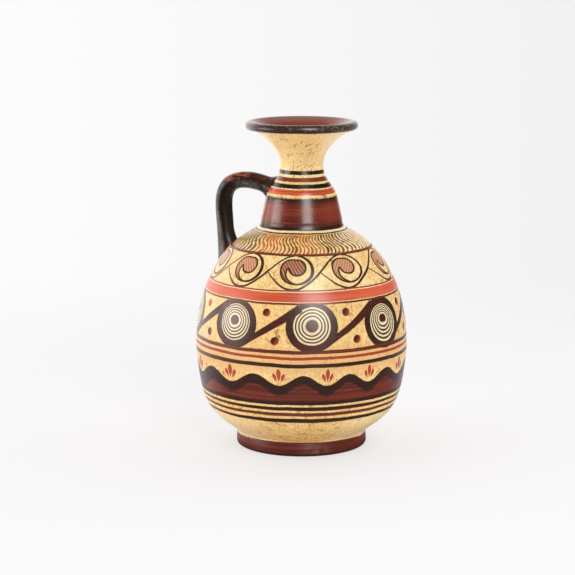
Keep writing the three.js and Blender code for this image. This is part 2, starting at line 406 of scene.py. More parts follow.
handle = pull_handle("pulled_handle")


# Finishes


class Amount:
    """A number that changes over the surface, as the output of a node."""

    def __init__(self, wiring, socket):
        self.wiring = wiring
        self.socket = socket

    def __add__(self, other):
        return self.wiring.work("ADD", self, other)

    def __sub__(self, other):
        return self.wiring.work("SUBTRACT", self, other)

    def __rsub__(self, other):
        return self.wiring.work("SUBTRACT", other, self)

    def __mul__(self, other):
        return self.wiring.work("MULTIPLY", self, other)

    def __truediv__(self, other):
        return self.wiring.work("DIVIDE", self, other)

    def __abs__(self):
        return self.wiring.work("ABSOLUTE", self)

    def cos(self):
        return self.wiring.work("COSINE", self)

    def sin(self):
        return self.wiring.work("SINE", self)

    def root(self):
        return self.wiring.work("SQRT", self)

    def part(self):
        return self.wiring.work("FRACT", self)

    def over(self, limit):
        return self.wiring.work("GREATER_THAN", self, limit)

    def under(self, limit):
        return self.wiring.work("LESS_THAN", self, limit)

    def most(self, other):
        return self.wiring.work("MAXIMUM", self, other)

    def fade(self, start, end, low=0, high=1, smooth=False):
        """Goes from low to high as this amount goes from start to end, and end may be below start."""
        node = self.wiring.add("ShaderNodeMapRange")
        node.interpolation_type = "SMOOTHSTEP" if smooth else "LINEAR"
        self.wiring.feed_all(node, (self, start, end, low, high))
        return Amount(self.wiring, node.outputs[0])

    def stroke(self, half, soft=0.14):
        """1 within a half width of a line that this amount is the distance from, and 0 outside it."""
        return self.fade(half - soft, half + soft, 1, 0)

    def band(self, low, high, soft=0.14):
        return abs(self - (low + high) / 2).stroke((high - low) / 2, soft)


class Wiring:
    """Shader nodes that are wired together, for a finish, the floor or the air of the room."""

    def __init__(self, tree):
        self.nodes = tree.nodes
        self.links = tree.links

    def add(self, kind, operation=None):
        node = self.nodes.new(kind)
        if operation:
            node.operation = operation
        return node

    def feed(self, socket, value):
        if isinstance(value, Amount):
            self.links.new(value.socket, socket)
        elif isinstance(value, bpy.types.NodeSocket):
            self.links.new(value, socket)
        elif socket.type == "RGBA":
            socket.default_value = (*value, 1)
        else:
            socket.default_value = value

    def feed_all(self, node, values):
        for socket, value in zip(node.inputs, values):
            self.feed(socket, value)
        return node

    def work(self, operation, *values):
        node = self.feed_all(self.add("ShaderNodeMath", operation), values)
        return Amount(self, node.outputs[0])

    def move(self, operation, *values):
        """A vector worked out from others."""
        return self.feed_all(self.add("ShaderNodeVectorMath", operation), values).outputs[0]

    def measure(self, operation, *values):
        """An amount worked out from vectors."""
        node = self.feed_all(self.add("ShaderNodeVectorMath", operation), values)
        return Amount(self, node.outputs["Value"])

    def parts(self, vector):
        node = self.feed_all(self.add("ShaderNodeSeparateXYZ"), [vector])
        return [Amount(self, socket) for socket in node.outputs]

    def coat(self, kind, tint, strength=None):
        """A shader of one tint, at a strength where it gives light."""
        node = self.add(kind)
        self.feed(node.inputs["Color"], tint)
        if strength:
            self.feed(node.inputs["Strength"], strength)
        return node.outputs[0]

    def blend(self, amount, first, second):
        """A shader that goes from one to another by an amount."""
        return self.feed_all(self.add("ShaderNodeMixShader"), (amount, first, second)).outputs[0]


class Finish(Wiring):
    """One finish, drawn with shader nodes on Object coordinates turned to the painted front."""

    def __init__(self, name):
        self.material = bpy.data.materials.new(name)
        self.material.use_nodes = True
        super().__init__(self.material.node_tree)
        self.shader = self.nodes["Principled BSDF"]
        coordinates = self.add("ShaderNodeTexCoord")
        mapping = self.add("ShaderNodeMapping")
        mapping.inputs["Rotation"].default_value = (0, 0, FRONT_TURN)
        mapping.inputs["Scale"].default_value = (1 / MM, 1 / MM, 1 / MM)
        self.links.new(coordinates.outputs["Object"], mapping.inputs["Vector"])
        self.place = mapping.outputs["Vector"]
        self.front, self.right, self.height = self.parts(self.place)
        self.turn = self.work("ARCTAN2", self.right, self.front) * math.degrees(1)

    def attribute(self, name):
        node = self.add("ShaderNodeAttribute")
        node.attribute_name = name
        return Amount(self, node.outputs["Fac"])

    def stretch(self, front, right, height):
        """The place with each direction scaled."""
        return self.move("MULTIPLY", self.place, (front, right, height))

    def cloud(self, size, detail=2, rough=0.5, place=None):
        """Noise whose lumps are about a size in millimetres: its amount, and its tint for three amounts."""
        node = self.add("ShaderNodeTexNoise")
        self.links.new(place or self.place, node.inputs["Vector"])
        node.inputs["Scale"].default_value = 1 / size
        node.inputs["Detail"].default_value = detail
        node.inputs["Roughness"].default_value = rough
        return Amount(self, node.outputs[0]), node.outputs[1]

    def cells(self, size, feature, place=None):
        node = self.add("ShaderNodeTexVoronoi")
        node.feature = feature
        self.links.new(place or self.place, node.inputs["Vector"])
        node.inputs["Scale"].default_value = 1 / size
        return node

    def split(self, tint):
        node = self.feed_all(self.add("ShaderNodeSeparateColor"), [tint])
        return [Amount(self, socket) for socket in node.outputs]

    def mix(self, amount, under, over):
        """A tint with another laid over it by an amount."""
        node = self.add("ShaderNodeMix")
        node.data_type = "RGBA"
        self.feed(node.inputs[0], amount)
        self.feed(node.inputs[6], under)
        self.feed(node.inputs[7], over)
        return node.outputs[2]

    def lay(self, amount, slip):
        """Lays a slip over what has been laid so far, by an amount."""
        self.tint = self.mix(amount, self.tint, slip)

    def warp(self, size, reach):
        """The place moved about by noise, for cracks that wander."""
        tint = self.cloud(size, 1)[1]
        return self.move("MULTIPLY_ADD", tint, (reach, reach, reach), self.place)

    def flat(self, across, up=0):
        return self.feed_all(self.add("ShaderNodeCombineXYZ"), (across, up)).outputs[0]

    def sheet(self, rise, girth):
        """The surface laid flat: millimetres round the jug, by its millimetres to a degree, and up."""
        return self.flat(self.turn * girth, rise)

    def scratches(self, sheet, spacing, reach, half, share, lean, scatter):
        """Short tapered scratches, one in some of the cells of a sheet, leaning by degrees."""
        cell = self.cells(spacing, "F1", sheet)
        cell.voronoi_dimensions = "2D"
        beside, above = self.parts(self.move("SUBTRACT", sheet, cell.outputs["Position"]))[:2]
        chance, tilt, size = self.split(cell.outputs["Color"])
        angle = (tilt - 0.5) * math.radians(scatter) + math.radians(lean)
        along = abs(beside * angle.cos() + above * angle.sin()) / (size * reach + reach * 0.3)
        off = abs(beside * angle.sin() - above * angle.cos())
        return off.stroke((1 - along) * half, 0.08) * along.under(1) * chance.over(1 - share)

    def by_turn(self, turn, pitch):
        """Noise that changes only round the jug, with lumps of a pitch in degrees."""
        return self.cloud(1, 0, 0.5, self.flat(turn / pitch))[0]

    def clock(self, across, up):
        """Degrees from straight up, clockwise, 0 to 360."""
        degrees = self.work("ARCTAN2", across, up) * math.degrees(1)
        return degrees + degrees.under(0) * 360

    def around(self, turn, count, start):
        """The angle in degrees from the nearest of a number of places spaced evenly round the jug."""
        period = 360 / count
        return (((turn - start) / period + 0.5).part() - 0.5) * period

    def cover(self, rough, height, strength, depth, gloss):
        """Joins the tint that was laid, the roughness and the relief to the shader."""
        self.shader.inputs["Specular IOR Level"].default_value = gloss
        self.feed(self.shader.inputs["Base Color"], self.tint)
        self.feed(self.shader.inputs["Roughness"], rough)
        relief = self.add("ShaderNodeBump")
        relief.inputs["Strength"].default_value = strength
        relief.inputs["Distance"].default_value = depth
        self.feed(relief.inputs["Height"], height)
        self.links.new(relief.outputs[0], self.shader.inputs["Normal"])


# Colours of the slips and of the clay, and tints that paint in a glint, sheen and lit sides
CREAM = (0.89, 0.64, 0.275)
CREAM_DEEP = (0.82, 0.52, 0.185)
MOUTH_GOLD = (0.98, 0.68, 0.29)
CREAM_ORANGE = (0.64, 0.33, 0.090)
CREAM_PALE = (0.92, 0.76, 0.46)
CREAM_GRAIN = (0.50, 0.26, 0.070)
DISC_PALE = (0.77, 0.65, 0.41)
BELLY_TAN = (0.72, 0.40, 0.15)
HEM = (0.97, 0.72, 0.43)
HEM_ORANGE = (0.80, 0.36, 0.15)
SHOULDER_ORANGE = (0.86, 0.43, 0.12)
SPECK = (0.14, 0.058, 0.018)
CRACK = (0.24, 0.078, 0.016)
CRACK_DEEP = (0.19, 0.058, 0.011)
BLACK = (0.012, 0.008, 0.006)
BLACK_BROWN = (0.055, 0.012, 0.004)
BORDER_BLACK = (0.030, 0.012, 0.007)
LINE_BLACK = (0.030, 0.011, 0.004)
LINE_BROWN = (0.082, 0.021, 0.005)
HANDLE_BROWN = (0.014, 0.007, 0.005)
RED_BROWN_DEEP = (0.085, 0.014, 0.006)
RED_BROWN = (0.112, 0.014, 0.006)
RED_BROWN_BRIGHT = (0.215, 0.028, 0.010)
# Painted light on the dark washes: a rosy sheen on the left and a lit red on the right
ROSE_SHEEN = (0.38, 0.082, 0.036)
NECK_RED = (0.27, 0.035, 0.010)
# Painted highlight: pale glints on the foot's front
PAINTED_GLINT = (0.32, 0.17, 0.16)
BROWN = (0.24, 0.040, 0.009)
RED = (0.43, 0.041, 0.013)
RED_LIGHT = (0.61, 0.110, 0.038)
# Painted light: the red band as lit at its sides
RED_LIT_SIDES = (0.69, 0.115, 0.040)
LINE_RED = (0.35, 0.040, 0.008)
LEAF = (0.42, 0.050, 0.013)
HATCH_GROUND = (0.50, 0.20, 0.088)
HATCH_LINE = (0.15, 0.045, 0.020)
HATCH_PALE = (0.66, 0.33, 0.18)
LINING = (0.21, 0.034, 0.017)
# Painted sheen on the lining near the rim
LINING_EDGE_SHEEN = (0.23, 0.112, 0.094)
BARE_CLAY = (0.42, 0.19, 0.10)
BARE_CLAY_PALE = (0.52, 0.27, 0.15)
OLIVE_GREY = (0.15, 0.135, 0.105)
# Olive mottle of the handle's slip, also standing in for painted sheen
OLIVE_MOTTLE_AND_SHEEN = (0.16, 0.145, 0.125)
RIM_BROWN = (0.044, 0.017, 0.011)
RUBBED_RED = (0.34, 0.085, 0.040)

# Running spirals: how many, degrees to the first, millimetres to a degree, and the height of their middles
SPIRAL_COUNT = 10
SPIRAL_START = -3.4
SPIRAL_GIRTH = 0.855
SPIRAL_RISE = 128.3
HATCH_PITCH = 1.65

# The long lines that link the spirals: middle height, reach up and down, and steepest slope
LINK_RISE = 126.7
LINK_REACH = 11.2
LINK_SLOPE = 1.143

# Medallions likewise, then the bars half-way between them, and the dots beside the middle of each
MEDALLION_COUNT = 8
MEDALLION_START = 5.7
MEDALLION_GIRTH = 1.0908
MEDALLION_RISE = 93.4
BAR_MIDDLE = 24.54
BAR_SLOPE = math.radians(33)
DOT_PLACES = ((21.4, 8.1), (-21.8, -8.5))
DOT_RADIUS = 2.4

# Waves likewise, with their reach up and down
WAVE_COUNT = 13
WAVE_START = 0.5
WAVE_GIRTH = 1.131
WAVE_RISE = 61.15
WAVE_REACH = 3.25

# The middle leaf and a side leaf: lean in degrees, place beside the middle, length and width
LEAF_BASE = 60
LEAVES = ((0, 0, 8.6, 1.5), (23, 1.25, 6, 1.2))

# Lower and upper edge of the painted bands and lines, in millimetres of outline up from the table
STROKES = (139.2, 155.6)
STROKES_GROUND = (139, 156)
LINE_UNDER_STROKES = (137.6, 139.5)
LINE_OVER_RED = (114.5, 115.4)
RED_BAND = (108.1, 114)
RED_BAND_EDGES = (107.4, 114.7)
LINE_UNDER_RED = (106.5, 107.7)
BELLY_GROUND = (66, 81)
BELLY_BROWN_LINE = (77.5, 79.7)
BELLY_RED_LINE = (74.05, 75.8)
BELLY_BLACK_LINE = (69.2, 71.6)

# Middle and half width of the three lines under the wave, from the upper down
LOW_LINES = ((43.05, 1.25), (39.2, 1.2), (34.8, 1.5))

# Lower and upper edge of the lines on the neck and the throat, in millimetres up from the table
NECK_RED_LINE = (156.8, 159.8)
NECK_BLACK_LINE = (160.6, 163)
NECK_BROWN_LINE = (164.3, 166.7)
THROAT_LINE = (168.4, 170.8)

# Strokes round the shoulder
STROKE_COUNT = 105

# Millimetres round the body and round the neck for a degree, for marks laid out flat
BODY_GIRTH = 0.9
NECK_GIRTH = 0.36

# Specular level of each burnished slip
BODY_GLOSS = 0.84
NECK_GLOSS = 0.9
FOOT_GLOSS = 0.52
HANDLE_GLOSS = 0.4

# The pale bloom of the mouth where it is seen at a low angle
MOUTH_SHEEN = 0.35
MOUTH_SHEEN_ROUGHNESS = 0.35
MOUTH_SHEEN_TINT = (1, 0.90, 0.86)


def distance(across, up):
    return (across * across + up * up).root()


def highest(amounts):
    return reduce(Amount.most, amounts)


def cream_slip(finish, rise, girth, wear, web_share=1):
    """Lays the mottled yellow slip with its specks, scratches and cracks, and gives how deep these are."""
    slow = finish.cloud(26, 3)[0] + rise.fade(98, 118, 0.17, 0) - rise.fade(30, 44, 0.10, 0)
    quick = finish.cloud(3, 4, 0.6)[0]
    grain = finish.cloud(1.4, 3, 0.72)[0]
    finish.tint = finish.mix(slow.fade(0.38, 0.62), CREAM, CREAM_DEEP)
    finish.lay(quick.fade(0.49, 0.73, 0, 0.55), CREAM_ORANGE)
    finish.lay(quick.fade(0.47, 0.30, 0, 0.50), CREAM_PALE)
    finish.lay((grain + wear * 0.1).fade(0.50, 0.68, 0, 0.70), CREAM_GRAIN)
    finish.lay(grain.fade(0.46, 0.30, 0, 0.45), CREAM_PALE)
    specks = finish.cells(3.8, "F1")
    chance = finish.split(specks.outputs["Color"])[0]
    edge = Amount(finish, specks.outputs["Distance"]) - (chance + wear).fade(0.78, 1.1, 0.03, 0.14)
    few = (chance + wear).over(0.80)
    finish.lay(edge.fade(0, 0.14, 0.55, 0) * few, CREAM_ORANGE)
    dots = edge.fade(0.04, -0.02) * few
    finish.lay(dots * 0.8, SPECK)
    patchy = finish.cloud(14, 2)[0] + wear
    flat = finish.sheet(rise, girth)
    scratches = finish.scratches(flat, spacing=6.1, reach=3.2, half=0.26, share=0.45, lean=65, scatter=110)
    scratches = scratches * patchy.fade(0.46, 0.56)
    web = finish.cells(6.5, "DISTANCE_TO_EDGE", finish.warp(4.5, 6))
    gaps = finish.cloud(4.5, 1)[0]
    cracks = Amount(finish, web.outputs["Distance"]).fade(0.06, 0.02) * gaps.fade(0.52, 0.60)
    scratches = scratches.most(cracks * patchy.fade(0.48, 0.56) * web_share)
    finish.lay(scratches * 0.75, CRACK)
    return scratches.most(dots * 0.5)


def streaks(finish):
    """Long brush marks that run round the jug."""
    return finish.cloud(1, 3, 0.6, finish.stretch(0.018, 0.018, 1.1))[0]


def hand(finish, slow, quick):
    """The unsteady hand: three slow wanders and a quick jitter by their sizes, and the brush marks."""
    wander = finish.split(finish.cloud(slow, 2)[1])
    return wander, finish.cloud(quick, 2)[0], streaks(finish)


def clay_inside(finish):
    """Lays bare fired clay, with turning marks, on the inside."""
    marks = finish.cloud(1, 2, 0.5, finish.stretch(0.05, 0.05, 0.8))[0]
    clay = finish.mix(marks.fade(0.35, 0.65), BARE_CLAY, BARE_CLAY_PALE)
    finish.lay(finish.attribute("inside"), clay)


def spiral_zone(finish, turn, rise):
    """Running spirals: how much line there is, how much hatched ground, and the way across the hatching."""
    turn = turn - turn.fade(36, 64, 0, 5, smooth=True) * turn.fade(90, 170, 1, 0, smooth=True)
    across = finish.around(turn, SPIRAL_COUNT, SPIRAL_START) * SPIRAL_GIRTH
    up = rise - SPIRAL_RISE
    reach = distance(across, up)
    clock = finish.clock(across, up)
    outer = clock.fade(290, 366, 9.4, 6.5, smooth=True)
    lines = abs(reach - outer).stroke((across / reach).most(0) * turn.fade(14, 22, 0.45, 0.1) + 0.55)
    lift = up - 1.4
    near = distance(across, lift)
    near_clock = finish.clock(across, lift)
    ring = near_clock.fade(150, 272, 5.4, 4.4)
    lines = lines.most(abs(near - ring).stroke(0.58) * near_clock.under(268))
    cusp = clock.fade(180, 284, 9.4, 4.9)
    lines = lines.most((abs(reach - cusp) * 0.9).stroke(0.52) * clock.over(182) * clock.under(284))
    crescent = reach.under(outer) * reach.over(cusp) * clock.over(182)
    ground = near.under(ring).most(crescent)
    sweep = finish.around(turn, SPIRAL_COUNT, SPIRAL_START - 2)
    swing = sweep * math.radians(SPIRAL_COUNT / 2)
    arch = swing.cos() * LINK_REACH
    slant = swing.sin() * LINK_SLOPE
    square = (slant * slant + 1).root()
    valley = abs(rise + arch - LINK_RISE) / square
    hill = abs(rise - arch - LINK_RISE) / square
    lines = lines.most(valley.stroke(sweep.fade(-17, -4, 0.32, 0.66)))
    lines = lines.most(hill.stroke(0.58) * sweep.under(0))
    return lines, ground, across * 0.85 + up * turn.fade(12, 18, 0.5, -0.5)


def medallion_zone(finish, turn, rise):
    """Medallions joined by slanting bars: dark rings, thin rings, eyes, pale discs, bars, dots, dot shade."""
    across = finish.around(turn, MEDALLION_COUNT, MEDALLION_START) * MEDALLION_GIRTH
    up = rise - MEDALLION_RISE
    middle = turn.band(MEDALLION_START - 20, MEDALLION_START + 20)
    right = turn.band(MEDALLION_START + 25, MEDALLION_START + 65)
    wide = across * (0.95 - middle * 0.02)
    high = (up + right * 0.9) * (1 - right * 0.05)
    reach = distance(wide, high)
    drop = up - 0.6 + right * 1.9
    inner = distance(across, drop).stroke(middle * 0.5 + right * 0.4 + 10.8)
    thick = reach.stroke(14.75) * (1 - inner) * rise.fade(108, 107.6)
    lift = drop - (1 - reach / 11).most(0) * (1.6 - middle * 1.3 + right * 1.9)
    near = distance(across, lift)
    eye = near.stroke(middle * 0.7 + 3.2, 0.2)
    first = middle + 4.9
    pitch = middle * 0.3 + 1.65
    thin = abs(((near - first) / pitch + 0.5).part() - 0.5) * pitch
    thin = thin.stroke(middle * 0.03 + 0.42, 0.12) * near.over(4.3) * near.under(10.6) * inner
    bars = []
    for side in (1, -1):
        beside = across - BAR_MIDDLE * side
        off = abs(beside * math.sin(BAR_SLOPE) - up * math.cos(BAR_SLOPE))
        along = beside * math.cos(BAR_SLOPE) + up * math.sin(BAR_SLOPE)
        bars.append(off.stroke(along.fade(-15, 15, 1.6, 2.45)) * (along * side).over(-20.8))
    dots = []
    shades = []
    for dot_across, dot_up in DOT_PLACES:
        beside = across - dot_across
        above = up - dot_up
        dot = distance(beside, above).stroke(DOT_RADIUS, 0.2)
        dots.append(dot)
        shades.append(dot * (beside * 0.8 - above * 0.6).fade(2.2, -0.6))
    shade = highest(shades) * (1 - turn.under(-50) * up.over(0))
    return thick, thin, eye, inner, highest(bars), highest(dots), shade


def wave_zone(finish, turn, rise, brush):
    """The dark band with its waved upper edge: the band, its black borders, and the leaves above it."""
    drift = (turn * math.radians(2) + math.radians(32)).cos() * 1.88 - 1.5
    drift = drift + (turn * math.radians(3) + math.radians(45)).cos() * 1.02
    steady = turn - drift
    wave = ((steady - WAVE_START) * math.radians(WAVE_COUNT)).cos()
    under = wave * WAVE_REACH + WAVE_RISE - rise
    band = under.fade(-0.15, 0.15) * rise.fade(45.5, 45.8)
    loose = (brush - 0.5) * 3.4
    depth = 5.9 - wave * 0.3 + turn.fade(-62, -44, 3.5, 0) * turn.over(-120)
    borders = (under + loose - depth).fade(1.3, -0.7)
    borders = borders.most(under.band(7.8, 9.2, 0.7) * wave.fade(-0.2, 0.8) * 0.6)
    borders = borders.most((rise + loose * 0.5).fade(48.8, 47.6))
    side = abs(finish.around(steady, WAVE_COUNT, WAVE_START + 180 / WAVE_COUNT) * WAVE_GIRTH)
    above = rise - LEAF_BASE
    leaves = []
    for lean, base_side, length, width in LEAVES:
        angle = math.radians(lean)
        beside = side - base_side
        along = (beside * math.sin(angle) + above * math.cos(angle)) / length
        off = abs(beside * math.cos(angle) - above * math.sin(angle))
        swell = along * (1 - along) * (along * 0.75 + 0.25) * (5.6 * width)
        leaves.append((off - swell).stroke(0, 0.12) * along.over(0) * along.under(1))
    return band, borders, highest(leaves)


def shoulder_zone(finish, turn, rise):
    """Close-set curved strokes, unevenly spaced and thick, and each stroke's place round the shoulder."""
    spacing = finish.by_turn(turn, 2.3)
    weight = finish.by_turn(turn + 400, 1.8)
    swing = ((rise - 142.6) * (math.tau / 17.8)).cos() * 2.6
    radius = distance(finish.front, finish.right)
    wider = abs(turn).fade(35, 180, 0, 48) * (turn.over(0) * 2 - 1)
    way = turn - swing + (spacing - 0.5) * 2.2
    off = abs(finish.around(way - wider, STROKE_COUNT, 0)) * radius * math.radians(0.9)
    half = (weight - 0.5) * 0.5 + turn.fade(42, 60, 0.53, 0.38) + turn.fade(-60, -42, 0.06, 0)
    return off.stroke(half, 0.15) * rise.over(STROKES[0]) * rise.under(STROKES[1]), way


STROKE_ORANGE = (0.31, 0.092, 0.014)
STROKE_RED = (0.41, 0.100, 0.020)
STROKE_BROWN = (0.17, 0.055, 0.012)
STROKE_OLIVE = (0.11, 0.045, 0.008)
STROKE_BLACK = (0.034, 0.016, 0.003)

# The slip of each group of strokes, from the degree at which the group starts
STROKE_GROUPS = (
    (-180, STROKE_ORANGE),
    (-140, STROKE_BLACK),
    (-118, STROKE_BROWN),
    (-85, STROKE_OLIVE),
    (-44, STROKE_RED),
    (-21, STROKE_OLIVE),
    (-7, STROKE_ORANGE),
    (17.5, STROKE_BLACK),
    (28, STROKE_BROWN),
    (60, STROKE_ORANGE),
    (100, STROKE_RED),
    (132, STROKE_OLIVE),
    (160, STROKE_ORANGE),
)


def stroke_tint(finish, turn):
    """The slip of the strokes by degrees from the painted front."""
    node = finish.add("ShaderNodeValToRGB")
    ramp = node.color_ramp
    ramp.interpolation = "CONSTANT"
    while len(ramp.elements) < len(STROKE_GROUPS):
        ramp.elements.new(1)
    for element, (degrees, tint) in zip(ramp.elements, STROKE_GROUPS):
        element.position = (degrees + 180) / 360
        element.color = (*tint, 1)
    finish.feed(node.inputs[0], turn.fade(-180, 180))
    return node.outputs[0]


def foot_lift(finish):
    """How much further up the foot's slip was brushed at the front, in millimetres."""
    return abs(finish.turn).fade(15, 80, 0.9, 0.1, smooth=True)


def painted_body():
    finish = Finish("painted_body")
    wander, jitter, brush = hand(finish, 24, 2.4)
    rise = finish.attribute("rise") + (wander[0] - 0.5) * 1.4 + (jitter - 0.5) * 0.45
    turn = finish.turn + (wander[1] - 0.5) * 1.6 + (jitter - 0.5) * 0.3
    scratches = cream_slip(finish, rise, BODY_GIRTH, rise.fade(36, 30, 0, 0.12))
    brown = finish.mix(brush.fade(0.35, 0.65), BLACK_BROWN, BROWN)
    dark = finish.mix(brush.fade(0.40, 0.66), LINE_BLACK, LINE_BROWN)
    dark = finish.mix(turn.fade(-62, -30, 0.40, 0), dark, BROWN)
    press = abs(turn - 5).fade(12, 55, 1, 0.70)

    # Painted light: the lower body's cream paler towards the sides
    finish.lay(abs(turn).fade(18, 50, 0, 0.6) * rise.fade(40, 30), CREAM_PALE)
    finish.lay(rise.band(*RED_BAND_EDGES) * 0.5, CREAM_PALE)

    strokes, way = shoulder_zone(finish, turn, rise)
    shoulder = rise.band(*STROKES_GROUND)
    warm = shoulder * turn.band(-46, 14, 3)
    finish.lay(warm * wander[2].fade(0.35, 0.60, 0.20, 0.55), SHOULDER_ORANGE)
    finish.lay(shoulder * turn.fade(26, 52, 0, 0.55), CREAM_PALE)
    finish.lay(strokes * 0.95, stroke_tint(finish, way))

    lines, ground, hatch = spiral_zone(finish, turn, rise)
    hatching = (hatch * (math.tau / HATCH_PITCH)).cos().fade(-0.3, 0.5)
    aside = abs(turn + 3).fade(10, 24, 0, 0.75)
    eyes = finish.mix(hatching, HATCH_GROUND, HATCH_LINE)
    eyes = finish.mix(aside, eyes, finish.mix(hatching, HATCH_PALE, HATCH_GROUND))
    finish.lay(ground, eyes)
    finish.lay(lines, dark)

    red = finish.mix(brush.fade(0.35, 0.65), RED, RED_LIGHT)
    # Painted light: the red band lighter and more orange towards the sides, where more light falls
    red = finish.mix(abs(turn + 3).fade(14, 40, 0, 0.7), red, RED_LIT_SIDES)
    red_band = rise.band(*RED_BAND)
    finish.lay(rise.band(*BELLY_GROUND, 1.5) * 0.62, BELLY_TAN)
    finish.lay(red_band, red)
    finish.lay(rise.band(*BELLY_RED_LINE), LINE_RED)

    thick, thin, eye, pale, bars, dots, shade = medallion_zone(finish, turn, rise)
    ring_tint = finish.mix(wander[2].fade(0.45, 0.62, 0, 0.8), dark, RED_BROWN_DEEP)
    finish.lay(pale * 0.85, DISC_PALE)
    finish.lay(bars, finish.mix(brush.fade(0.45, 0.70), BLACK_BROWN, RED_BROWN))
    finish.lay(dots, LEAF)
    finish.lay(shade, BLACK_BROWN)
    finish.lay(eye, finish.mix(jitter.fade(0.40, 0.60), BLACK_BROWN, RED_BROWN))
    finish.lay(thick.most(thin), ring_tint)

    finish.lay(rise.band(*LINE_OVER_RED), BROWN)
    low_upper, low_middle, low_lower = [abs(rise - middle).stroke(press * half) for middle, half in LOW_LINES]
    browns = [rise.band(*line) for line in (LINE_UNDER_STROKES, LINE_UNDER_RED, BELLY_BROWN_LINE)]
    finish.lay(highest([*browns, low_middle]), brown)
    finish.lay(highest([rise.band(*BELLY_BLACK_LINE), low_upper, low_lower]), dark)

    band, borders, leaves = wave_zone(finish, turn, rise, brush)
    finish.lay(leaves, finish.mix(jitter.fade(0.35, 0.65), LEAF, RED))
    # Painted light: the wave band's wash a little brighter towards the right and rosier on the left, a
    # painted sheen
    wash = finish.mix((brush + turn.fade(0, 30, 0, 0.06)).fade(0.42, 0.68), RED_BROWN, RED_BROWN_BRIGHT)
    wash = finish.mix(turn.fade(-72, -46, 0.45, 0), wash, ROSE_SHEEN)
    finish.lay(band, finish.mix(borders * 0.92, wash, BORDER_BLACK))

    low = finish.attribute("rise") + (wander[2] - 0.5) * 0.8 + (jitter - 0.5) * 0.5 - RISE_AT_FOOT
    low = low - foot_lift(finish)
    hem = abs(turn).fade(8, 24)
    finish.lay((low - hem).fade(1, 0.6), finish.mix(hem, HEM_ORANGE, HEM))
    finish.lay(low.fade(0.1, -0.1), wash)
    clay_inside(finish)

    rough = jitter.fade(0.3, 0.7, 0.285, 0.37)
    bare = (1 - band) * (1 - red_band)
    relief = jitter * 0.5 + brush * 0.35 - scratches * bare * 0.3
    finish.cover(rough, relief, strength=0.25, depth=0.00025, gloss=BODY_GLOSS)
    return finish.material


def painted_neck():
    finish = Finish("painted_neck")
    wander, jitter, brush = hand(finish, 18, 2)
    height = finish.height + (wander[0] - 0.5) * 1 + (jitter - 0.5) * 0.4
    scratches = cream_slip(finish, finish.height, NECK_GIRTH, 0)
    fuzz = (brush - 0.5) * 3 + (jitter - 0.5) * 2
    band = (height + fuzz * 0.12).fade(135.9, 136.2) * (height + fuzz * 0.35).fade(155.6, 154.6)
    loose = height + fuzz
    border = loose.fade(150, 153.8).most(loose.fade(142.5, 137.5))
    wash = finish.mix(brush.fade(0.36, 0.66), RED_BROWN, RED_BROWN_BRIGHT)
    # Painted light: the wash lighter and rosier on the left, where the left lamp shines, and brighter red on
    # the right, towards the key lamp
    wash = finish.mix(finish.turn.fade(-75, -20, 0.75, 0), wash, ROSE_SHEEN)
    wash = finish.mix(finish.turn.fade(12, 45, 0, 0.6), wash, NECK_RED)
    finish.lay(band, finish.mix(border * 0.88, wash, BLACK))
    red = finish.mix(brush.fade(0.35, 0.65), RED, RED_LIGHT)
    finish.lay(height.band(*NECK_RED_LINE), red)
    finish.lay(height.band(*NECK_BLACK_LINE), BLACK)
    finish.lay(height.band(*NECK_BROWN_LINE), finish.mix(brush, RED_BROWN, BROWN))
    finish.lay(height.fade(135.9, 136.2, 0.7, 0), CREAM_PALE)
    finish.lay(height.fade(135.1, 134.8), BLACK_BROWN)
    clay_inside(finish)
    rough = (jitter * 0.4 + brush * 0.6).fade(0.3, 0.7, 0.20, 0.34)
    relief = brush * 0.7 + jitter * 0.4 - scratches * 0.6
    finish.cover(rough, relief, strength=0.30, depth=0.00025, gloss=NECK_GLOSS)
    return finish.material


